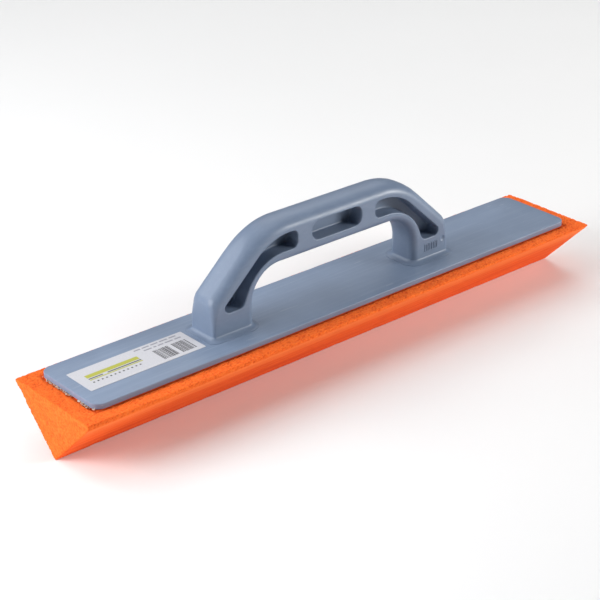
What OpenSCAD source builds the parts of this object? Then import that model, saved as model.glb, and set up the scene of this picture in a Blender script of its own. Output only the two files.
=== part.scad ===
// Sponge float with a V-shaped pad, for rubbing the inside corners of rendered walls.
// A sponge-rubber prism is bonded under a long plastic plate with an arched handle.
// Origin: the middle of the keel, where the pad touches the ground. +X runs along
// the float, +Y to its back, +Z up through the handle. All sizes are in millimetres.

/* [Sponge pad] */
// Length of the sponge pad, and so of the whole float
pad_len = 500; // [490:5:600]
// Width across the top of the sponge pad
pad_w = 88; // [84:1:110]
// Width of the small blunt flat along the keel of the V
keel_flat = 1.5; // [0.5:0.5:4]
// Height of the narrow upright sides left above the V
side_h = 2.5; // [0.5:0.5:6]

/* [Base plate] */
// Length of the base plate
plate_len = 470; // [300:5:480]
// Width of the base plate
plate_w = 68; // [50:1:76]
// Thickness of the base plate
plate_t = 4; // [3:0.5:6]
// Radius of the plate's corners, seen from above
plate_corner_r = 8; // [2:1:12]
// How far the plate was bonded off the pad's middle, along the float
plate_shift_x = 0; // [-3:0.5:3]
// How far the plate was bonded off the pad's middle, towards the back
plate_shift_y = 2; // [-3:0.5:3]

/* [Adhesive] */
// Thickness of the adhesive between plate and pad
glue_t = 0.6; // [0.4:0.1:1.5]
// How far the adhesive stops short of the plate's edge
glue_inset = 1.5; // [0.5:0.5:4]

/* [Handle] */
// How far the handle was welded off the plate's middle, along the float
handle_shift_x = -1.5; // [-3:0.5:3]
// Length of the handle over its two feet
handle_len = 235; // [220:1:260]
// Width of the handle, front to back
handle_w = 27; // [24:1:32]
// Height of the handle above the plate
handle_h = 74; // [70:1:85]
// Height of the finger gap under the grip
finger_gap_h = 42; // [38:1:48]
// Length of each foot along the float
foot_len = 38; // [32:1:42]
// Height of the upright outer end of each foot
foot_h = 28.5; // [24:0.5:34]
// Slope of the arms, down from the level grip
arm_angle = 43; // [38:1:48]
// Radius of the shoulder between grip and arm
shoulder_r = 55; // [40:1:60]
// Radius of the finger gap's two upper corners
gap_corner_r = 25; // [15:1:30]
// Rounding of the handle's long outer edges
edge_r = 8; // [4:1:9]
// Chamfer around the finger gap, where the fingers wrap the grip
gap_chamfer = 4; // [2:0.5:5]
// How far the flare at the foot spreads on the plate
flare_w = 5; // [2:0.5:7]
// Height of the flare at the foot
flare_h = 4; // [2:0.5:6]

/* [Handle pockets] */
// Thickness of the web left between the front and back pockets
web_t = 3; // [2:0.5:6]
// Length of the straight pocket in the grip
grip_pocket_len = 49; // [40:1:54]
// Height of the straight pocket in the grip
grip_pocket_h = 15.5; // [10:0.5:17]
// Height of the straight pocket's lower edge above the finger gap
grip_pocket_up = 8.5; // [6:0.5:9]
// Wall between a curved pocket and the outside of the arm
arm_wall_out = 10; // [9:0.5:12]
// Wall between a curved pocket and the finger gap
arm_wall_in = 8; // [6:0.5:9]
// Distance of a curved pocket's inner end from the middle of the grip
arm_pocket_start = 38.5; // [36:0.5:44]
// Height of a curved pocket's lower end above the plate
arm_pocket_foot = 18; // [14:1:22]
// Rounding of the curved pocket's corners
pocket_r = 4.5; // [3:0.5:5]

/* [Label] */
// Length of the paper label
label_len = 98; // [60:1:105]
// Width of the paper label
label_w = 30; // [20:1:40]
// Thickness of the paper label
label_t = 0.2; // [0.1:0.1:0.4]
// Gap between the plate's end and the label
label_gap = 9.5; // [6:0.5:12]

/* [Hidden] */
$fn = 64;

// The V is half of a square turned on its edge, so both faces lean at 45 degrees.
v_depth = (pad_w - keel_flat) / 2;
pad_depth = v_depth + side_h;
plate_z = pad_depth + glue_t;
plate_top = plate_z + plate_t;

end_x = handle_len / 2;
gap_x = end_x - foot_len;
// The finger gap and the handle's sides run this far below the plate's top before trimming.
below = 20;
// Where the level top of the grip ends and the shoulder begins.
arm_top_h = handle_h - shoulder_r * (1 - cos(arm_angle));
shoulder_x = end_x - shoulder_r * sin(arm_angle) - (arm_top_h - foot_h) / tan(arm_angle);
// Radius between the foot's upright end and the sloping arm.
knee_r = 10;
// Radius on the feet's outer upright edges, much crisper than the grip.
foot_edge_r = 2.5;
// A thin slice that hull() stretches between.
slice = 0.2;
shoulder_steps = 8;
edge_steps = 4;

// Points along an arc about [cx, cy] from angle a to angle b.
function arc(cx, cy, r, a, b, n) = [
    for (i = [0 : n]) [cx + r * cos(a + (b - a) * i / n), cy + r * sin(a + (b - a) * i / n)]
];

// A rectangle with round corners, standing on z = 0.
module rounded_slab(length, width, height, r) {
    linear_extrude(height) union() {
        square([length - 2 * r, width], center = true);
        square([length, width - 2 * r], center = true);
        for (sx = [-1, 1], sy = [-1, 1])
            translate([sx * (length / 2 - r), sy * (width / 2 - r)]) circle(r);
    }
}

// Puts a drawing of the float's side view upright, as a slab of the given width about y = 0.
module side_slab(width) {
    rotate([90, 0, 0]) linear_extrude(width, center = true) children();
}

// The handle's outside seen from the front, before the finger gap is cut.
module handle_outline() {
    right = arc(shoulder_x, handle_h - shoulder_r, shoulder_r, 90, 90 - arm_angle, shoulder_steps);
    left = arc(-shoulder_x, handle_h - shoulder_r, shoulder_r, 90 + arm_angle, 90, shoulder_steps);
    offset(r = knee_r, $fn = 40) offset(delta = -knee_r)
        polygon(concat([[-end_x, -below], [-end_x, foot_h]], left, right,
                       [[end_x, foot_h], [end_x, -below]]));
}

// The finger gap seen from the front.
module gap_outline() {
    corner_z = finger_gap_h - gap_corner_r;
    corner_x = gap_x - gap_corner_r;
    polygon(concat([[gap_x, -below]], arc(corner_x, corner_z, gap_corner_r, 0, 90, 10),
                   arc(-corner_x, corner_z, gap_corner_r, 90, 180, 10), [[-gap_x, -below]]));
}

// The handle's outside with its long edges rounded, stretched over a stack of slices.
module handle_body() {
    hull() for (side = [-1, 1], i = [0 : edge_steps]) {
        a = 90 * i / edge_steps;
        translate([0, side * ((handle_w - slice) / 2 - edge_r * (1 - sin(a))), 0])
            side_slab(slice) offset(delta = -edge_r * (1 - cos(a))) handle_outline();
    }
}

// The finger gap with chamfered mouths, for the fingers to wrap round the grip.
module finger_gap() {
    side_slab(2 * handle_w) gap_outline();
    for (side = [-1, 1]) hull() {
        translate([0, side * (handle_w / 2 - gap_chamfer), 0]) side_slab(slice) gap_outline();
        translate([0, side * (handle_w / 2 + slice), 0])
            side_slab(slice) offset(delta = gap_chamfer, chamfer = false) gap_outline();
    }
}

// The straight pocket in the middle of the grip, seen from the front.
module grip_pocket_outline() {
    r = grip_pocket_h / 2 - 1;
    translate([0, finger_gap_h + grip_pocket_up + grip_pocket_h / 2])
        offset(r = r, $fn = 32) square([grip_pocket_len - 2 * r, grip_pocket_h - 2 * r], center = true);
}

// The curved pocket in the right arm: what lies between the arm's two walls.
module arm_pocket_outline() {
    offset(r = pocket_r, $fn = 32) offset(delta = -pocket_r) intersection() {
        difference() {
            offset(delta = -arm_wall_out) handle_outline();
            offset(r = arm_wall_in, $fn = 64) gap_outline();
        }
        translate([arm_pocket_start, arm_pocket_foot]) square([handle_len, handle_h]);
    }
}

// One side's three pockets, cut in from the face towards the web.
module pockets(side) {
    depth = (handle_w - web_t) / 2;
    translate([0, side * (web_t / 2 + depth), 0]) {
        side_slab(2 * depth) grip_pocket_outline();
        side_slab(2 * depth) arm_pocket_outline();
        mirror([1, 0, 0]) side_slab(2 * depth) arm_pocket_outline();
    }
}

// The crisp box-like outer half of a foot, and the flare where the foot meets the plate.
module foot(side) {
    half = foot_len / 2;
    translate([side * (end_x - half / 2), 0, 0])
        rounded_slab(half, handle_w, foot_h - knee_r / 2, foot_edge_r);
    translate([side * (end_x - half), 0, 0]) hull() {
        rounded_slab(foot_len + 2 * flare_w, handle_w + 2 * flare_w, 0.8, foot_edge_r + flare_w, $fn = 32);
        rounded_slab(foot_len, handle_w, flare_h, foot_edge_r, $fn = 32);
    }
}

// The arched handle: one moulding, welded to the plate at its two feet.
module handle() {
    color("lightslategray") translate([plate_shift_x + handle_shift_x, plate_shift_y, plate_top]) difference() {
        union() {
            difference() {
                handle_body();
                finger_gap();
                translate([0, 0, -below]) cube([2 * handle_len, 2 * handle_w, 2 * below], center = true);
            }
            for (side = [-1, 1]) foot(side);
        }
        for (side = [-1, 1]) pockets(side);
    }
}

// The long flat plate that carries the pad.
module base_plate() {
    color("slategray") translate([plate_shift_x, plate_shift_y, plate_z])
        rounded_slab(plate_len, plate_w, plate_t, plate_corner_r);
}

// The cured adhesive between plate and pad.
module adhesive_layer() {
    color("wheat") translate([plate_shift_x, plate_shift_y, pad_depth])
        rounded_slab(plate_len - 2 * glue_inset, plate_w - 2 * glue_inset, glue_t,
                     plate_corner_r - glue_inset);
}

// The V-shaped sponge-rubber pad, keel down.
module sponge_pad() {
    color("darkorange") rotate([90, 0, 90]) linear_extrude(pad_len, center = true)
        polygon([[-pad_w / 2, pad_depth], [-pad_w / 2, v_depth], [-keel_flat / 2, 0],
                 [keel_flat / 2, 0], [pad_w / 2, v_depth], [pad_w / 2, pad_depth]]);
}

// The paper label on the left end of the plate.
module label_sticker() {
    color("white") translate([
        plate_shift_x - plate_len / 2 + label_gap + label_len / 2, plate_shift_y, plate_top + label_t / 2
    ]) cube([label_len, label_w, label_t], center = true);
}

handle();
base_plate();
adhesive_layer();
sponge_pad();
label_sticker();
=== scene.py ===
# %% [markdown]
# # A corner sponge float
# A plasterer pushes this float into the inside corner of a wet wall. Its sponge pad is
# a long V, bonded under a stiff plastic plate, and an arched handle stands on the plate.
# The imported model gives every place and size, so each piece here starts from the box of
# the CAD node that it stands for.

import math
import random

import bmesh
import bpy
from mathutils import Matrix, Vector, noise


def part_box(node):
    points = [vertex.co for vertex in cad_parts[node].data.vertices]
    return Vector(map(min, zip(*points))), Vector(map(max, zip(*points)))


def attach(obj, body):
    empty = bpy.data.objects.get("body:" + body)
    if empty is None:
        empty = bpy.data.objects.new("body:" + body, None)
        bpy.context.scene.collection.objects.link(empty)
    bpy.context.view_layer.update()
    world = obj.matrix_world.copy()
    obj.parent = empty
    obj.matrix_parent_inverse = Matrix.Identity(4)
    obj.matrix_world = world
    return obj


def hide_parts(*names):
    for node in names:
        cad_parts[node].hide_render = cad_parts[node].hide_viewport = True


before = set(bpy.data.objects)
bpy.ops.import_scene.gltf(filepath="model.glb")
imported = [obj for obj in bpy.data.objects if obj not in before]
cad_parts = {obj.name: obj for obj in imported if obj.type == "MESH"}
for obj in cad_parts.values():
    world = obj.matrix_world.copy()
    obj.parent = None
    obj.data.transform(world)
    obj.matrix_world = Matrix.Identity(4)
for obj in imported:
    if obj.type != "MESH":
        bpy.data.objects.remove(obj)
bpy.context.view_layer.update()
scene = bpy.context.scene
mm = 0.001

# %% [markdown]
# ## Camera
# The camera stands at the left front and looks down on the float from 1.3 metres away.
# A long lens keeps the plate's edges close to parallel, as in a catalogue. The Standard
# view keeps the strong orange of the sponge, which a film look would fade.

# %% Set up the camera
camera_place = Vector((-770.4, -849.6, 604.8)) * mm
camera_tilt = math.radians(63.81)
camera_turn = math.radians(-41.14)

lens = bpy.data.cameras.new("camera")
lens.lens = 101.2
lens.sensor_width = 36
camera = bpy.data.objects.new("camera", lens)
camera.location = camera_place
camera.rotation_euler = (camera_tilt, 0, camera_turn)
scene.collection.objects.link(camera)
scene.camera = camera
scene.view_settings.view_transform = "Standard"
print("camera is", round(camera_place.length, 2), "m from the keel's middle")

# %% [markdown]
# ## Drawing an outline
# Every moulded or cut piece of the float starts as a flat outline with round corners.
# A curve could draw it, but a bmesh keeps it a mesh from the start: one vertex is spun
# about each corner's centre, as with a compass, and one face joins all the points.


# %% Draw a face with round corners
def rounded_face(bm, corners, steps=8):
    """A flat face on z = 0 from corners (x, y, radius), given anticlockwise."""
    drawn = len(bm.verts)
    for i, (x, y, radius) in enumerate(corners):
        corner = Vector((x, y, 0))
        back = (Vector((*corners[i - 1][:2], 0)) - corner).normalized()
        ahead = (Vector((*corners[(i + 1) % len(corners)][:2], 0)) - corner).normalized()
        half = back.angle(ahead) / 2
        first = bm.verts.new(corner + back * radius / math.tan(half))
        if radius > 0:
            centre = corner + (back + ahead).normalized() * radius / math.sin(half)
            turn = math.copysign(math.pi - 2 * half, ahead.cross(back).z)
            bmesh.ops.spin(bm, geom=[first], cent=centre, axis=(0, 0, 1), angle=turn, steps=steps)
    bm.verts.ensure_lookup_table()
    face = bm.faces.new(bm.verts[drawn:])
    bm.normal_update()
    return face


def rectangle(length, width, radius):
    """Corners of a rectangle about the origin, all with one radius."""
    x, y = length / 2, width / 2
    return [(x, -y, radius), (x, y, radius), (-x, y, radius), (-x, -y, radius)]


# %% [markdown]
# ## Raising an outline
# The inset operator moves a face inwards and lifts it in one step. A list of such steps
# is a profile: a straight wall, a round edge like a router's, or a cove like the fillet
# at the foot of a moulding. One function then raises any outline along any profile.


# %% Raise a face along a profile
def round_over(radius, steps=4):
    """Steps (inset, lift) of a convex quarter round, from upright to flat."""
    turns = [math.pi / 2 * i / steps for i in range(steps + 1)]
    return [(radius * (math.cos(a) - math.cos(b)), radius * (math.sin(b) - math.sin(a)))
            for a, b in zip(turns, turns[1:])]


def cove(run, rise, steps=5):
    """Steps (inset, lift) of a hollow quarter round, from flat to upright."""
    turns = [math.pi / 2 * i / steps for i in range(steps + 1)]
    return [(run * (math.sin(b) - math.sin(a)), rise * (math.cos(a) - math.cos(b)))
            for a, b in zip(turns, turns[1:])]


def raise_face(bm, face, profile):
    """Raises the face step by step, then closes the shape at its foot."""
    for inset, lift in profile:
        bmesh.ops.inset_region(bm, faces=[face], thickness=inset, depth=lift, use_boundary=True,
                               use_even_offset=True)
        bm.normal_update()
    rim = [edge for edge in bm.edges if edge.is_boundary]
    bmesh.ops.holes_fill(bm, edges=rim, sides=0)
    bmesh.ops.recalc_face_normals(bm, faces=bm.faces)


def place(bm, matrix):
    """Moves or turns the whole bmesh."""
    bmesh.ops.transform(bm, matrix=matrix, verts=bm.verts)


def everything(bm):
    """All that the bmesh holds, in the form that cuts and mirrors work on."""
    return bm.verts[:] + bm.edges[:] + bm.faces[:]


# %% [markdown]
# ## From bmesh to piece
# A finished bmesh becomes an object at the origin, so its place is in its mesh. Smooth
# shading with sharp edges above a set angle gives clean light on the round parts. Where
# a big flat face meets a round edge, the Weighted Normal modifier keeps the flat flat.


# %% Make pieces and combine solids
def solid(bm, name):
    """An object from the bmesh, with no part in the float yet."""
    mesh = bpy.data.meshes.new(name)
    bm.to_mesh(mesh)
    bm.free()
    made = bpy.data.objects.new(name, mesh)
    scene.collection.objects.link(made)
    return made


def make_real(piece, modifier):
    """Puts what the modifier shows into the piece's own mesh, and drops the modifier."""
    depsgraph = bpy.context.evaluated_depsgraph_get()
    result = bpy.data.meshes.new_from_object(piece.evaluated_get(depsgraph))
    piece.modifiers.remove(modifier)
    piece.data = result


def combine(body, tool, operation):
    """Cuts the tool from the body (DIFFERENCE) or joins it on (UNION), and removes the tool."""
    step = body.modifiers.new("combine", "BOOLEAN")
    step.operation = operation
    step.solver = "EXACT"
    step.object = tool
    make_real(body, step)
    bpy.data.objects.remove(tool)


def even_skin(piece, size):
    """Wraps the piece in a closed skin of small quads, each about one size wide."""
    wrap = piece.modifiers.new("even skin", "REMESH")
    wrap.mode = "VOXEL"
    wrap.voxel_size = size
    make_real(piece, wrap)


def finish_piece(piece, node, material, sharp=35, flat_faces=False):
    """Shades the piece, gives it its material and hands it to the frame."""
    piece.data.shade_smooth()
    piece.data.set_sharp_from_angle(angle=math.radians(sharp))
    piece.data.materials.clear()
    piece.data.materials.append(material)
    if flat_faces:
        weighted = piece.modifiers.new("flat faces stay flat", "WEIGHTED_NORMAL")
        weighted.keep_sharp = True
    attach(piece, "root")
    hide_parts(node)
    print(piece.name, len(piece.data.vertices), "vertices")


# %% [markdown]
# ## Building materials from nodes
# A material here is a short chain of nodes. A few helpers keep each chain readable: one
# adds a node and fills its sockets, and the others make the steps that every finish needs,
# such as a noise, a soft threshold or a blend of two colours.


# %% Node helpers
def add_node(tree, kind, inputs=None, **settings):
    """Adds a node. An input is a plain value, or another node's output to link."""
    made = tree.nodes.new("ShaderNode" + kind)
    for name, value in settings.items():
        setattr(made, name, value)
    for name, value in (inputs or {}).items():
        if isinstance(value, bpy.types.NodeSocket):
            tree.links.new(value, made.inputs[name])
        else:
            made.inputs[name].default_value = value
    return made


def blend(tree, factor, first, second):
    """Colour output that goes from first to second as factor goes from 0 to 1."""
    factor_in, first_in, second_in, colour_out = 0, 6, 7, 2
    made = add_node(tree, "Mix", {factor_in: factor, first_in: first, second_in: second},
                    data_type="RGBA", blend_type="MIX")
    return made.outputs[colour_out]


def fade(tree, value, low, high, at_low=0.0, at_high=1.0):
    """Number output that goes smoothly from at_low to at_high between low and high."""
    made = add_node(tree, "MapRange", {"Value": value, "From Min": low, "From Max": high,
                                       "To Min": at_low, "To Max": at_high})
    made.interpolation_type = "SMOOTHSTEP"
    return made.outputs["Result"]


def object_point(tree, scale=(1, 1, 1)):
    """Object coordinates in metres, stretched by a scale for each axis."""
    point = add_node(tree, "TexCoord").outputs["Object"]
    return add_node(tree, "Mapping", {"Vector": point, "Scale": scale}).outputs["Vector"]


def noise_value(tree, point, scale, detail=4.0, roughness=0.5):
    """Number output of a noise at this point; the scale is in waves for each metre."""
    made = add_node(tree, "TexNoise", {"Vector": point, "Scale": scale, "Detail": detail,
                                       "Roughness": roughness})
    return made.outputs["Fac"]


def new_material(name):
    """A material with only its Principled shader: (material, tree, shader)."""
    material = bpy.data.materials.new(name)
    material.use_nodes = True
    return material, material.node_tree, material.node_tree.nodes["Principled BSDF"]


# %% [markdown]
# ## Finish: moulded polypropylene
# Handle and plate are the same blue-grey plastic with a satin skin. On the real tool the
# colour clouds a little where the melt flowed, fine streaks run along the plate, and rubbing
# leaves faint pale scuffs. Noise of different sizes gives each of these, stretched along X
# for the streaks and the scuffs. The grain in the skin is less than a tenth of a millimetre
# deep, so it is bump and not geometry. The handle gets a darker shade and fewer marks.


# %% Mix the plastic
def moulded_plastic(name, colour, flow, streaky, scuffs):
    """Satin plastic. flow is how far streaks are stretched along X; the last two are strengths."""
    material, tree, shader = new_material(name)
    cloudiness = 0.05
    darker = [c * (1 - cloudiness) for c in colour] + [1]
    lighter = [c * (1 + cloudiness) for c in colour] + [1]
    streak_colour, scuff_colour = (0.34, 0.40, 0.49, 1), (0.44, 0.49, 0.57, 1)
    satin, duller = 0.38, 0.46

    point = object_point(tree)
    along = object_point(tree, (1 / flow, 1, 1))
    clouds = noise_value(tree, point, 26, detail=3)
    streaks = noise_value(tree, along, 420, detail=5)
    clouded = blend(tree, fade(tree, clouds, 0.3, 0.7), darker, lighter)
    streaked = blend(tree, fade(tree, streaks, 0.4, 0.75, 0, streaky), clouded, streak_colour)
    scratch = noise_value(tree, object_point(tree, (30, 420, 420)), 1.0, detail=2, roughness=0.7)
    worn = fade(tree, scratch, 0.66, 0.74, 0, scuffs)
    tree.links.new(blend(tree, worn, streaked, scuff_colour), shader.inputs["Base Color"])
    tree.links.new(fade(tree, streaks, 0.3, 0.7, satin, duller), shader.inputs["Roughness"])
    grain = noise_value(tree, point, 2600, detail=2)
    soft = add_node(tree, "Bump", {"Height": streaks, "Strength": 0.08, "Distance": 0.1 * mm})
    fine = add_node(tree, "Bump", {"Height": grain, "Strength": 0.12, "Distance": 0.06 * mm,
                                   "Normal": soft.outputs["Normal"]})
    tree.links.new(fine.outputs["Normal"], shader.inputs["Normal"])
    shader.inputs["IOR"].default_value = 1.49
    return material


blue_grey = (0.163, 0.216, 0.312)
handle_shade = 0.87
handle_plastic = moulded_plastic("handle_plastic", [handle_shade * c for c in blue_grey], flow=3,
                                 streaky=0.06, scuffs=0.06)
plate_plastic = moulded_plastic("plate_plastic", blue_grey, flow=25, streaky=0.16, scuffs=0.22)
print("plastics:", handle_plastic.name, plate_plastic.name)

# %% [markdown]
# ## The handle's side view
# The handle is one arch, moulded in polypropylene: two feet, two arms and a level grip.
# Seen from the front it is a single outline, so the drawing holds every large radius: a
# tight knee above each foot, a wide shoulder, and round upper corners in the finger gap.

# %% Draw the handle's outline
handle_low, handle_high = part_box("handle")
plate_top = handle_low.z
flare_w, flare_h = 5 * mm, 4 * mm
handle_w = handle_high.y - handle_low.y - 2 * flare_w
handle_h = handle_high.z - handle_low.z
end_x = (handle_high.x - handle_low.x) / 2 - flare_w
handle_centre = Vector(((handle_low.x + handle_high.x) / 2, (handle_low.y + handle_high.y) / 2, plate_top))

foot_len, foot_h = 38 * mm, 28.5 * mm
finger_gap_h = 42 * mm
arm_slope = math.tan(math.radians(43))
knee_r, shoulder_r, gap_r = 10 * mm, 55 * mm, 25 * mm
gap_x = end_x - foot_len
arm_top_x = end_x - (handle_h - foot_h) / arm_slope
below = 10 * mm

right_side = [(end_x, -below, 0), (end_x, foot_h, knee_r), (arm_top_x, handle_h, shoulder_r)]
left_side = [(-x, z, r) for x, z, r in reversed(right_side)]
gap_side = [(-gap_x, -below, 0), (-gap_x, finger_gap_h, gap_r), (gap_x, finger_gap_h, gap_r),
            (gap_x, -below, 0)]

bm = bmesh.new()
rounded_face(bm, right_side + left_side + gap_side, steps=14)
too_long = 8 * mm
long_edges = [edge for edge in bm.edges if edge.calc_length() > too_long]
bmesh.ops.subdivide_edges(bm, edges=long_edges, cuts=5)
profile = bm.faces[:][0]
print("handle outline:", len(profile.verts), "points,", round(profile.calc_area() / mm**2), "mm2")


# %% [markdown]
# ## Soft edges that change along the handle
# A hand closes round the grip, so its long edges are very round. The feet keep the crisp
# corner of the mould. A bevel has one width, so the rounding is done by hand: each outline
# point knows its own radius, and the face is extruded in small turns of a quarter circle.


# %% Round the long edges
def smooth_step(value, low, high):
    """Goes smoothly from 0 to 1 as the value goes from low to high."""
    share = min(1, max(0, (value - low) / (high - low)))
    return share * share * (3 - 2 * share)


crisp_r, inner_r = 2.5 * mm, 6 * mm
touch = 0.1 * mm


def edge_radius(x, z):
    """Rounding at a point of the outline, as (in its own plane, in depth)."""
    if abs(x) < gap_x + touch and z < finger_gap_h + touch:
        return inner_r, inner_r
    arm = smooth_step(z, 10 * mm, 30 * mm)
    top = smooth_step(z, 52 * mm, 70 * mm)
    more_in_plane = (4.5 * arm + 1.2 * top) * mm
    more_in_depth = (6 * arm + 3 * top) * mm
    return crisp_r + more_in_plane, crisp_r + more_in_depth


vectors = bm.verts.layers.float_vector
vectors.new("home")
vectors.new("inward")
home, inward = vectors["home"], vectors["inward"]
ring = [loop.vert for loop in profile.loops]
for before, vert, after in zip(ring[-1:] + ring[:-1], ring, ring[1:] + ring[:1]):
    path_in = (vert.co - before.co).normalized()
    path_out = (after.co - vert.co).normalized()
    sideways = Vector((0, 0, 1)).cross(path_in + path_out).normalized()
    half_turn = math.sqrt((1 + path_in.dot(path_out)) / 2)
    stretch = 1 / max(0.5, half_turn)
    vert[home] = vert.co
    vert[inward] = sideways * stretch * edge_radius(vert.co.x, vert.co.y)[0]

turns = 7
for i in range(turns + 1):
    angle = math.pi / 2 * i / turns
    grown = bmesh.ops.extrude_face_region(bm, geom=[profile])["geom"]
    bmesh.ops.delete(bm, geom=[profile], context="FACES_ONLY")
    profile = next(item for item in grown if isinstance(item, bmesh.types.BMFace))
    for vert in profile.verts:
        depth = edge_radius(vert[home].x, vert[home].y)[1]
        vert.co = vert[home] + vert[inward] * (1 - math.cos(angle))
        vert.co.z = handle_w / 2 - depth * (1 - math.sin(angle))
bm.normal_update()
print("edges rounded in", turns, "turns")

# %% [markdown]
# ## Mirror, stand up and trim
# Only the front half was drawn, so a mirror gives the back half. The drawing then stands
# up, moves to its place on the plate, and the part that hung below the plate is cut off.
# The two helper layers go too, so that the mesh carries nothing but its shape.

# %% Complete the arch
bmesh.ops.mirror(bm, geom=everything(bm), merge_dist=0.01 * mm, axis="Z")
bmesh.ops.remove_doubles(bm, verts=bm.verts, dist=0.005 * mm)
upright = Matrix.Translation(handle_centre) @ Matrix.Rotation(math.pi / 2, 4, "X")
place(bm, upright)
bmesh.ops.bisect_plane(bm, geom=everything(bm), plane_co=(0, 0, plate_top), plane_no=(0, 0, 1),
                       clear_inner=True)
bmesh.ops.holes_fill(bm, edges=[edge for edge in bm.edges if edge.is_boundary], sides=0)
bmesh.ops.recalc_face_normals(bm, faces=bm.faces)
for layer in ("inward", "home"):
    vectors = bm.verts.layers.float_vector
    vectors.remove(vectors[layer])
open_edges = sum(not edge.is_manifold for edge in bm.edges)
print("arch volume:", round(bm.calc_volume() / mm**3 / 1000, 1), "cm3, open edges:", open_edges)
handle = solid(bm, "arched_handle")

# %% [markdown]
# ## Flares at the feet
# Each foot spreads into a small hollow-sided skirt where it is joined to the plate. A cove
# profile raised from a wider copy of the foot's rectangle gives it, and a union makes it
# one with the foot. The skirt ends just inside the foot's wall, so the union cuts cleanly.

# %% Add the flares
tuck = 0.3 * mm
for side in (-1, 1):
    bm = bmesh.new()
    outer_x, inner_x = end_x + flare_w, gap_x - flare_w
    half_w = handle_w / 2 + flare_w
    corners = [(outer_x, -half_w, crisp_r + flare_w), (outer_x, half_w, crisp_r + flare_w),
               (inner_x, half_w, inner_r + flare_w), (inner_x, -half_w, inner_r + flare_w)]
    skirt = rounded_face(bm, corners, steps=8)
    upright_rim, closing_step = (0, 0.5 * mm), (0.2 * mm, tuck)
    raise_face(bm, skirt, [upright_rim, *cove(flare_w + tuck, flare_h, steps=7), closing_step])
    if side < 0:
        bmesh.ops.scale(bm, vec=(-1, 1, 1), verts=bm.verts)
        bmesh.ops.reverse_faces(bm, faces=bm.faces)
    place(bm, Matrix.Translation(handle_centre - Vector((0, 0, tuck))))
    combine(handle, solid(bm, "flare"), "UNION")
print("handle with flares:", len(handle.data.polygons), "faces")

# %% [markdown]
# ## Pockets
# A solid handle would sink in the mould and take long to cool, so three blind pockets are
# cored out of each side, and a thin web stays in the middle. Each cutter is raised from the
# pocket's outline: a cove at the mouth rolls the rim over, and the floor has a small fillet.

# %% Cut the pockets
wall_out = 10.7 * mm
web_t, rim_r, floor_r, draft = 3 * mm, 0.8 * mm, 1.2 * mm, 0.3 * mm
pocket_depth = (handle_w - web_t) / 2

start_x, foot_z = 38.5 * mm, 18 * mm
outer_x, pocket_top, inner_top = end_x - wall_out, 64.3 * mm, 50.4 * mm
arm_drop = wall_out / math.cos(math.atan(arm_slope))
arm_low_z = foot_h + wall_out * arm_slope - arm_drop
arm_high_x = end_x - (pocket_top + arm_drop - foot_h) / arm_slope
leg_lean = math.tan(math.radians(21.7))
foot_x = 89.8 * mm
bend_x = foot_x - (inner_top - foot_z) * leg_lean
end_r, bend_r, elbow_r = 4.8 * mm, 37 * mm, 3 * mm
foot_inner_r, foot_outer_r = 6.5 * mm, 4.4 * mm
arm_pocket = [(foot_x, foot_z, foot_inner_r), (outer_x, foot_z, foot_outer_r),
              (outer_x, arm_low_z, elbow_r), (arm_high_x, pocket_top, shoulder_r - wall_out),
              (start_x, pocket_top, end_r), (start_x, inner_top, end_r), (bend_x, inner_top, bend_r)]
left_pocket = [(-x, z, r) for x, z, r in reversed(arm_pocket)]
grip_pocket_z = 58.2 * mm
grip_pocket = [(x, z + grip_pocket_z, r)
               for x, z, r in rectangle(49.2 * mm, 15.4 * mm, 6.8 * mm)]
outside, sink = 2 * mm, 0.02 * mm


def pocket_cutter(corners):
    """The space to core out: it starts outside the handle's face and runs along +Z to its floor."""
    bm = bmesh.new()
    mouth = rounded_face(bm, corners, steps=9)
    bmesh.ops.inset_region(bm, faces=[mouth], thickness=-rim_r, depth=0, use_boundary=True,
                           use_even_offset=True)
    edge_faces = [face for face in bm.faces if face is not mouth]
    bmesh.ops.delete(bm, geom=edge_faces, context="FACES")
    straight = pocket_depth - rim_r - floor_r
    raise_face(bm, mouth, [(0, outside), *cove(rim_r, rim_r), (draft, straight), *round_over(floor_r)])
    return bm


for corners in (grip_pocket, arm_pocket, left_pocket):
    for front in (True, False):
        bm = pocket_cutter(corners)
        place(bm, Matrix.Translation((0, 0, -outside - handle_w / 2 + sink)))
        if front:
            bmesh.ops.scale(bm, vec=(1, 1, -1), verts=bm.verts)
            bmesh.ops.reverse_faces(bm, faces=bm.faces)
        place(bm, upright)
        combine(handle, solid(bm, "pocket"), "DIFFERENCE")
print("handle with pockets:", len(handle.data.polygons), "faces")

# %% [markdown]
# ## Grip marks on the right foot
# The mould leaves a row of short upright ribs and one shallow ejector dimple on the right
# foot. The ribs stand 0.4 mm high and the dimple is 0.7 mm deep. Bump would do for marks
# this small, but real shapes catch the light from the side and stay in the mesh.

# %% Add the ribs and the dimple
rib_count, rib_pitch, rib_w, rib_h, rib_up = 8, 1.9 * mm, 0.75 * mm, 6.5 * mm, 0.28 * mm
first_rib_x, ribs_z = 92.5 * mm, 10.5 * mm
every_other_shorter = 0.12
chamfer = (0.15 * mm, 0.12 * mm)
for i in range(rib_count):
    bm = bmesh.new()
    length = rib_h * (1 - every_other_shorter * (i % 2))
    rib = rounded_face(bm, rectangle(rib_w, length, 0.3 * mm), steps=3)
    raise_face(bm, rib, [(0, rib_up + tuck), chamfer])
    spot = Vector((first_rib_x + i * rib_pitch, ribs_z, 0))
    place(bm, upright @ Matrix.Translation(spot + Vector((0, 0, handle_w / 2 - tuck))))
    combine(handle, solid(bm, "rib"), "UNION")

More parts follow.
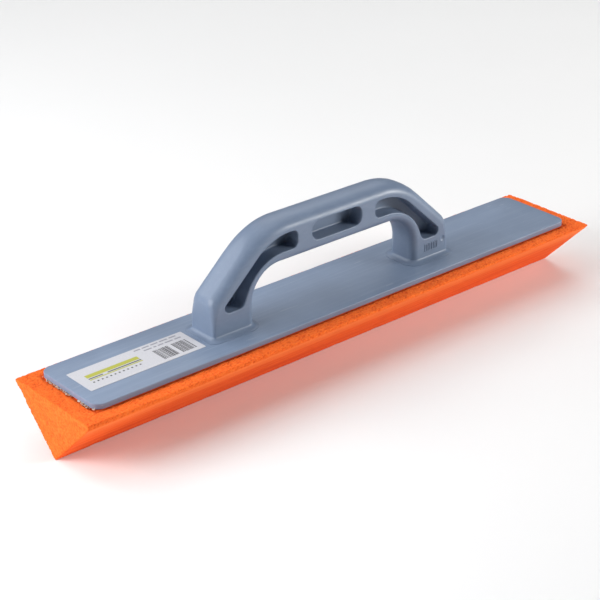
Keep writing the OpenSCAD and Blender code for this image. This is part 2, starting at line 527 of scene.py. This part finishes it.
bm = bmesh.new()
dimple_r, dimple_out = 5 * mm, 4.3 * mm
bmesh.ops.create_uvsphere(bm, u_segments=24, v_segments=12, radius=dimple_r)
dimple_x, dimple_z = 111.8 * mm, 13.5 * mm
place(bm, upright @ Matrix.Translation((dimple_x, dimple_z, handle_w / 2 + dimple_out)))
combine(handle, solid(bm, "dimple"), "DIFFERENCE")
finish_piece(handle, "handle", handle_plastic, sharp=38, flat_faces=True)

# %% [markdown]
# ## The carrier plate
# The plate is a strip of the same plastic, 4 mm thick, with round corners and a softened
# top edge. Long mouldings are never quite flat. The slab is cut into a grid of small tiles,
# and slow noise lowers their upper corners by about a tenth of a millimetre, so that
# reflections wander over the top as they do on the real one.

# %% Make the plate
plate_low, plate_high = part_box("base_plate")
plate_size = plate_high - plate_low
plate_centre = (plate_low + plate_high) / 2
plate_r, edge_r = 8 * mm, 0.6 * mm
tile, wave_h, edge_wander = 8 * mm, 0.16 * mm, 0.12 * mm

bm = bmesh.new()
slab = rounded_face(bm, rectangle(plate_size.x, plate_size.y, plate_r), steps=10)
raise_face(bm, slab, [(0, plate_size.z - edge_r), *round_over(edge_r)])
for axis in (0, 1):
    for i in range(1, int(plate_size[axis] / tile)):
        cut = Vector((0, 0, 0))
        cut[axis] = i * tile - plate_size[axis] / 2
        normal = Vector([float(k == axis) for k in range(3)])
        bmesh.ops.bisect_plane(bm, geom=everything(bm), plane_co=cut, plane_no=normal)
for vert in bm.verts:
    slow = noise.noise(Vector((vert.co.x * 14, vert.co.y * 40, 3.7)))
    quick = noise.noise(Vector((vert.co.x * 55, vert.co.y * 70, 9.1)))
    upper = vert.co.z > plate_size.z / 2
    vert.co.z -= upper * wave_h * (0.5 + 0.4 * slow + 0.15 * quick)
    vert.co.y += edge_wander * noise.noise(Vector((vert.co.x * 90, 0.3, 5.5)))
place(bm, Matrix.Translation((plate_centre.x, plate_centre.y, plate_low.z)))
plate = solid(bm, "carrier_plate")
finish_piece(plate, "base_plate", plate_plastic)

# %% [markdown]
# ## Finish: sponge rubber
# The pad is cut from a block of orange open-cell rubber. A saw opens the cells on the ends
# and on the top, so these are rough and bright. The two rubbing faces are skived smoother,
# and the blade leaves streaks along them. Higher up, these faces are paler. The mesh
# carries a "pore" attribute with the depth of each open cell and of the groove round the
# plate's rim, and a "skived" attribute for the smooth faces. The material reads both, and
# the pore value darkens the colour: painted shade in the cells and along the groove. A finer
# cell pattern gets a painted highlight on its walls.


# %% Mix the sponge
def sponge_rubber():
    """Orange rubber: rough where the cells are open, streaked where the blade skived it."""
    material, tree, shader = new_material("sponge_rubber")
    point = object_point(tree)
    pore = add_node(tree, "Attribute", attribute_name="pore").outputs["Fac"]
    skived = add_node(tree, "Attribute", attribute_name="skived").outputs["Fac"]
    cells = add_node(tree, "TexVoronoi", {"Vector": point, "Scale": 640, "Randomness": 1.0},
                     feature="F1", distance="EUCLIDEAN").outputs["Distance"]
    fine = noise_value(tree, point, 1500, detail=4, roughness=0.7)
    patches = noise_value(tree, point, 60, detail=4, roughness=0.6)
    blade = noise_value(tree, object_point(tree, (9, 190, 190)), 1.0, detail=5, roughness=0.6)

    dull, bright = (0.84, 0.110, 0.010, 1), (0.88, 0.135, 0.013, 1)
    # deep is the dark colour used as painted shade in the open cells and the groove; it also gives the
    # skived faces small dark specks.
    lit_cell_wall, deep = (0.92, 0.19, 0.028, 1), (0.60, 0.042, 0.002, 1)
    open_cut = blend(tree, fade(tree, patches, 0.3, 0.7), dull, bright)
    # Painted highlight: the walls of the fine cells are lighter than their middles, on top of the real
    # cell pattern.
    open_cut = blend(tree, fade(tree, cells, 0.25, 0.75, 0, 0.55), open_cut, lit_cell_wall)
    # Painted shade: the higher the pore value, the closer the colour comes to deep.
    open_cut = blend(tree, fade(tree, pore, 0.1, 0.8, 0, 0.6), open_cut, deep)

    streak_dark, streak_light = (0.84, 0.088, 0.004, 1), (0.95, 0.14, 0.013, 1)
    pale = (1.0, 0.24, 0.05, 1)
    # The skived faces turn paler towards the top.
    paler_from, paler_to = 26 * mm, 42 * mm
    smooth_cut = blend(tree, fade(tree, blade, 0.3, 0.7), streak_dark, streak_light)
    smooth_cut = blend(tree, fade(tree, fine, 0.5, 0.7, 0, 0.25), smooth_cut, deep)
    level = add_node(tree, "SeparateXYZ", {"Vector": point}).outputs["Z"]
    paler_up = fade(tree, level, paler_from, paler_to, 0, 0.6)
    smooth_cut = blend(tree, paler_up, smooth_cut, pale)
    colour = blend(tree, skived, open_cut, smooth_cut)
    tree.links.new(colour, shader.inputs["Base Color"])

    height = add_node(tree, "Math", {0: cells, 1: fine}, operation="MULTIPLY").outputs["Value"]
    strength = fade(tree, skived, 0, 1, 0.9, 0.25)
    rough_bump = add_node(tree, "Bump", {"Height": height, "Strength": strength, "Distance": 0.8 * mm})
    streaks = add_node(tree, "Bump", {"Height": blade, "Strength": 0.35, "Distance": 0.5 * mm,
                                      "Normal": rough_bump.outputs["Normal"]})
    tree.links.new(streaks.outputs["Normal"], shader.inputs["Normal"])
    shader.inputs["Roughness"].default_value = 0.92
    shader.inputs["Specular IOR Level"].default_value = 0.25
    return material


sponge = sponge_rubber()
print("sponge:", len(sponge.node_tree.nodes), "nodes")

# %% [markdown]
# ## The sponge pad
# The pad is a straight prism, so its end is drawn once and raised over the whole length.
# The front upright side is a cut that wanders, and it narrows from the left end to the
# right. A voxel remesh turns the prism into an even skin of small quads, which is what
# the next step needs to open the cells.

# %% Cut the pad
pad_low, pad_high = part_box("sponge_pad")
pad_size = pad_high - pad_low
half_w, keel_half = pad_size.y / 2, 0.75 * mm
v_depth = half_w - keel_half
side_left, side_right = 3.6 * mm, 0.8 * mm

bm = bmesh.new()
section = [(-half_w, pad_size.z, 0), (-half_w, v_depth, 0), (-keel_half, 0, 0),
           (keel_half, 0, 0), (half_w, v_depth, 0), (half_w, pad_size.z, 0)]
end_face = rounded_face(bm, section)
raise_face(bm, end_face, [(0, pad_size.x)])
along_x = Matrix(((0, 0, 1, pad_low.x), (1, 0, 0, 0), (0, 1, 0, 0), (0, 0, 0, 1)))
place(bm, along_x)
for vert in bm.verts:
    if vert.co.y < -half_w / 2 and vert.co.z < pad_size.z - mm:
        side = side_left if vert.co.x < 0 else side_right
        vert.co.z = pad_size.z - side
bmesh.ops.recalc_face_normals(bm, faces=bm.faces)
print("prism:", len(bm.verts), "points,", round(bm.calc_volume() / mm**3 / 1e6, 3), "litres")
pad = solid(bm, "rubbing_pad")

even_skin(pad, 1.2 * mm)
print("pad skin:", len(pad.data.vertices), "vertices")

# %% [markdown]
# ## Open cells and a pressed rim
# Sponge rubber is full of small bubbles, and a saw cuts them open. A Voronoi pattern gives
# cells of two sizes, and each vertex is pushed in by the depth of the cell it lies in. The
# skived faces only get shallow streaks and a few bruises. The plate's rim is pressed into
# the pad, so a groove runs around it. All the changes go inwards, so the pad stays in the
# space of its CAD solid.


# %% Open the cells
def open_cell(point, size):
    """How deep the cell under this point is: 0 on a wall, 1 in the middle."""
    distances = noise.voronoi(point / size)[0]
    return smooth_step(distances[1] - distances[0], 0.05, 0.6)


bm = bmesh.new()
bm.from_mesh(pad.data)
bm.normal_update()
numbers = bm.verts.layers.float
numbers.new("pore")
numbers.new("skived")
pore_shade_layer, skived_layer = numbers["pore"], numbers["skived"]
big_cell, small_cell, cell_shift = 3.6 * mm, 2.3 * mm, Vector((7, 3, 5)) * mm
margin = Vector((0.2, 0.2, 0.1)) * mm
lowest, highest = pad_low + margin, pad_high - margin
groove_depth, groove_half_w, groove_out = 0.9 * mm, 2.0 * mm, 0.6 * mm
for vert in bm.verts:
    co, normal = vert.co.copy(), vert.normal.copy()
    lean = smooth_step(-normal.z, 0.45, 0.68)
    wander = 0.5 * noise.noise(co / (3 * mm)) + 0.5
    skived = lean * smooth_step(pad_high.z - co.z, 1.5 * mm * wander, 5 * mm * wander + mm)
    pore = 0.3 * open_cell(co, big_cell) + 0.7 * open_cell(co + cell_shift, small_cell)
    open_depth = (0.15 + 0.85 * pore) * 0.85 * mm
    blade = noise.noise(Vector((co.x / (45 * mm), (co.y - co.z) / (2.4 * mm), 1.3)))
    smooth_depth = (0.10 + 0.10 * blade + 0.10 * pore) * mm
    bruise = max(0, noise.noise(co / (14 * mm)) - 0.25) * 0.8 * mm
    past_rim = max(abs(co.x - plate_centre.x) - plate_size.x / 2,
                   abs(co.y - plate_centre.y) - plate_size.y / 2)
    reach = groove_half_w * (0.6 + 0.8 * wander)
    groove = smooth_step(normal.z, 0.5, 0.9) * smooth_step(-abs(past_rim + groove_out), -reach, 0)
    bruise += groove_depth * groove
    vert.co = co - normal * (open_depth * (1 - skived) + smooth_depth * skived + bruise)
    vert.co = Vector([min(max(vert.co[k], lowest[k]), highest[k]) for k in range(3)])
    # The material paints shade by this value, in the open cells and along the groove round the plate's
    # rim.
    vert[pore_shade_layer] = max(pore * (1 - 0.7 * skived), 1.6 * groove)
    vert[skived_layer] = skived
bm.to_mesh(pad.data)
bm.free()
finish_piece(pad, "sponge_pad", sponge, sharp=180)

# %% [markdown]
# ## The bond line
# Contact adhesive holds the pad to the plate. It dries to a tan crust, paler on its lumps
# and stained by the orange rubber, so one noise drives both the colour and the bump.

# %% Mix the adhesive
adhesive, tree, shader = new_material("adhesive")
lumps = noise_value(tree, object_point(tree), 420, detail=4, roughness=0.7)
stained = blend(tree, fade(tree, lumps, 0.35, 0.6), (0.40, 0.13, 0.05, 1), (0.42, 0.33, 0.25, 1))
pale = blend(tree, fade(tree, lumps, 0.52, 0.66), stained, (0.62, 0.58, 0.54, 1))
tree.links.new(pale, shader.inputs["Base Color"])
crust_bump = add_node(tree, "Bump", {"Height": lumps, "Strength": 0.7, "Distance": 0.4 * mm})
tree.links.new(crust_bump.outputs["Normal"], shader.inputs["Normal"])
shader.inputs["Roughness"].default_value = 0.6
print("adhesive:", len(tree.nodes), "nodes")

# %% [markdown]
# ## The adhesive film
# The film stops just short of the plate's edge, so a dark line shows there. It is a thin
# slab whose outline is cut finer and then nibbled inwards by fractal noise, because brushed
# adhesive never ends in a straight line.

# %% Lay the film
glue_low, glue_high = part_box("adhesive_layer")
glue_size = glue_high - glue_low
film_r, nibble = 6.5 * mm, 0.9
bm = bmesh.new()
rounded_face(bm, rectangle(glue_size.x, glue_size.y, film_r), steps=6)
straight_edges = [edge for edge in bm.edges if edge.calc_length() > 20 * mm]
bmesh.ops.subdivide_edges(bm, edges=straight_edges, cuts=60)
film = bm.faces[:][0]
for vert in film.verts:
    ragged = noise.fractal(Vector((vert.co.x, vert.co.y, 0)) / (6 * mm), 0.7, 2.0, 3)
    vert.co -= vert.co.normalized() * abs(ragged) * nibble * mm
raise_face(bm, film, [(0, glue_size.z)])
place(bm, Matrix.Translation(((glue_low.x + glue_high.x) / 2, (glue_low.y + glue_high.y) / 2, glue_low.z)))
bond = solid(bm, "bond_film")
finish_piece(bond, "adhesive_layer", adhesive, sharp=30)

# %% [markdown]
# ## The squeezed-out fringe
# At the left end the adhesive squeezed out and dried into a crumbly fringe with bits of
# torn sponge in it. Small balls of random size are strewn along the plate's end and round
# its corners, with gaps where a slow noise is low, and a voxel remesh makes them one crust.

# %% Add the squeezed-out fringe
rng = random.Random(11)
lump_count, bare_below = 230, -0.22
end_y = plate_size.y / 2 - 3 * mm
bm = bmesh.new()
for _ in range(lump_count):
    share = rng.random()
    y = plate_centre.y + end_y * (1 - 2 * share)
    patchy = noise.noise(Vector((0, y / (7 * mm), 4.4)))
    if patchy < bare_below:
        continue
    size = rng.uniform(0.3, 0.62) * mm * (1 + 0.5 * patchy)
    out = rng.uniform(-0.4, 1.5 + 1.2 * patchy) * mm
    corner = max(0, abs(y - plate_centre.y) - (plate_size.y / 2 - plate_r))
    curve_in = plate_r - math.sqrt(max(0, plate_r**2 - corner**2))
    z = pad_high.z + 0.25 * size + rng.uniform(0, 0.8) * mm
    spot = Vector((plate_low.x + curve_in - out, y, z))
    shape = Matrix.Diagonal((1, rng.uniform(0.7, 1.5), rng.uniform(0.5, 0.9), 1))
    bmesh.ops.create_icosphere(bm, subdivisions=2, radius=size, matrix=Matrix.Translation(spot) @ shape)
fringe = solid(bm, "glue_fringe")
even_skin(fringe, 0.28 * mm)
finish_piece(fringe, "adhesive_layer", adhesive, sharp=180)

# %% [markdown]
# ## The paper label
# A white paper label is stuck near the left end of the plate. Paper and ink share one
# recipe: a flat colour that long, thin noise breaks up, as paper fibres do.


# %% Mix paper and inks
def printed(name, colour, roughness):
    """A flat colour broken up by paper fibres."""
    material, tree, shader = new_material(name)
    fibres = noise_value(tree, object_point(tree, (600, 1800, 1800)), 1.0, detail=4, roughness=0.7)
    fibre_shade = 0.88
    shade = [c * fibre_shade for c in colour] + [1]
    mixed = blend(tree, fade(tree, fibres, 0.3, 0.7), shade, (*colour, 1))
    tree.links.new(mixed, shader.inputs["Base Color"])
    bump = add_node(tree, "Bump", {"Height": fibres, "Strength": 0.15, "Distance": 0.05 * mm})
    tree.links.new(bump.outputs["Normal"], shader.inputs["Normal"])
    shader.inputs["Roughness"].default_value = roughness
    return material


paper = printed("label_paper", (0.53, 0.53, 0.565), 0.45)
inks = {"yellow": printed("ink_yellow", (0.40, 0.40, 0.04), 0.4),
        "charcoal": printed("ink_charcoal", (0.06, 0.06, 0.07), 0.4),
        "grey": printed("ink_grey", (0.26, 0.26, 0.30), 0.4)}
print("inks:", list(inks))

# %% [markdown]
# ## The printed pattern
# The print is a plain pattern with no meaning: two yellow bands, two rows of grey dashes, a
# dotted line, a broken rule and a block of upright bars. An image could carry it, but thin
# slabs stay sharp at any size. The paper is a thin slab that reaches down into the wavy
# plate, and the marks are still thinner slabs on top of it.

# %% Print the label
label_low, label_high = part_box("label_sticker")
label_size = label_high - label_low
ink_t = 0.03 * mm


def add_slab(name, left, right, back, front, height, base, radius=0):
    """A thin slab over a share of the label: left to right and back to front, from 0 to 1."""
    bm = bmesh.new()
    length, width = (right - left) * label_size.x, (front - back) * label_size.y
    face = rounded_face(bm, rectangle(length, width, radius), steps=4)
    raise_face(bm, face, [(0, height)])
    x = label_low.x + (left + right) / 2 * label_size.x
    y = label_high.y - (back + front) / 2 * label_size.y
    place(bm, Matrix.Translation((x, y, base)))
    return solid(bm, name)


def join(pieces, name):
    """One piece from many loose slabs of the same ink."""
    bm = bmesh.new()
    for piece in pieces:
        bm.from_mesh(piece.data)
        bpy.data.objects.remove(piece)
    return solid(bm, name)


bury = 0.15 * mm
paper_base = label_low.z - bury
sticker = add_slab("paper_label", 0, 1, 0, 1, label_high.z - paper_base, paper_base, 0.6 * mm)
finish_piece(sticker, "label_sticker", paper)

paper_top = label_high.z
rng = random.Random(5)
marks = {"yellow": [(0.08, 0.53, 0.33, 0.47), (0.08, 0.53, 0.56, 0.60)],
         "charcoal": [(0.08, 0.20, 0.50, 0.54), (0.24, 0.53, 0.50, 0.54)],
         "grey": []}
print_end, dash_gap, dash_h = 0.94, 0.014, 0.05
for row, start in ((0.07, 0.56), (0.20, 0.62)):
    u = start
    while u < print_end:
        step = rng.uniform(0.025, 0.075)
        marks["grey"].append((u, min(u + step, 0.96), row, row + dash_h))
        u += step + dash_gap
u = 0.66
block_gap = (0.795, 0.815)
while u < print_end:
    step = rng.choice((0.004, 0.006, 0.009, 0.012))
    if not block_gap[0] < u < block_gap[1]:
        marks["charcoal"].append((u, u + step, 0.37, 0.88))
    u += step + rng.choice((0.004, 0.006, 0.009))
u = 0.08
dots_end, dot_w, dot_pitch = 0.51, 0.014, 0.036
while u < dots_end:
    marks["charcoal"].append((u, u + dot_w, 0.68, 0.73))
    u += dot_pitch
for ink, spans in marks.items():
    slabs = [add_slab("mark", *span, ink_t, paper_top) for span in spans]
    finish_piece(join(slabs, "label_print_" + ink), "label_sticker", inks[ink])
print("label marks:", sum(len(spans) for spans in marks.values()))

# %% [markdown]
# ## The floor
# The float stands on a wide pale floor, which also throws soft light up at its rubbing
# faces. A very slow noise keeps the white from being dead even.


# %% Lay the floor
def backdrop():
    """Matt white with faint, slow clouds."""
    material, tree, shader = new_material("white_sweep")
    cloud = noise_value(tree, object_point(tree), 3, detail=2)
    darker, lighter = (0.79, 0.79, 0.79, 1), (0.82, 0.82, 0.82, 1)
    tree.links.new(blend(tree, cloud, darker, lighter), shader.inputs["Base Color"])
    shader.inputs["Roughness"].default_value = 0.9
    return material


bm = bmesh.new()
bmesh.ops.create_grid(bm, x_segments=2, y_segments=2, size=6)
floor = solid(bm, "floor")
floor.data.materials.append(backdrop())
print("floor:", [round(side, 1) for side in floor.dimensions], "m")

# %% [markdown]
# ## The lamps
# Four soft boxes light the float, as for a catalogue. A cool key lamp at the left and a weak
# glow from behind light the ends and the left sides. A strong, warmer one at the right front
# lights the long side, and a wide one overhead lights the plate. The corner that faces the
# camera gets the least, and this gap shows the roundness of the handle. A fifth lamp only
# brightens the floor behind, and a faint sky fills the shadows.


# %% Hang the lamps
def softbox(name, place_at, width, height, watts, colour=(1, 1, 1), aim=(0, 0, 0)):
    """A rectangular lamp of this size in metres, turned to shine at its aim."""
    data = bpy.data.lights.new(name, "AREA")
    data.shape = "RECTANGLE"
    data.size, data.size_y = width, height
    data.energy = watts
    data.color = colour
    lamp = bpy.data.objects.new(name, data)
    lamp.location = place_at
    lamp.rotation_euler = (Vector(aim) - Vector(place_at)).to_track_quat("-Z", "Y").to_euler()
    scene.collection.objects.link(lamp)
    print(name, "gives", watts, "watts")


cool, warm = (0.97, 0.98, 1.0), (1.0, 0.99, 0.97)
softbox("left_key", (-1.07, 0.19, 0.51), width=0.7, height=0.7, watts=15, colour=cool)
softbox("back_glow", (-0.67, 1.04, 0.99), width=0.8, height=0.8, watts=8)
softbox("right_fill", (1.58, -1.36, 0.66), width=0.9, height=0.7, watts=47, colour=warm)
softbox("top", (0.1, 0.2, 2.2), width=2.0, height=1.4, watts=11)
softbox("backdrop_lamp", (1.3, 1.6, 1.8), width=2.0, height=2.0, watts=25, aim=(1.3, 1.6, 0))

world = bpy.data.worlds.new("studio")
scene.world = world
world.use_nodes = True
sky = world.node_tree.nodes["Background"]
sky.inputs["Color"].default_value = (0.92, 0.95, 1.0, 1)
sky.inputs["Strength"].default_value = 0.07
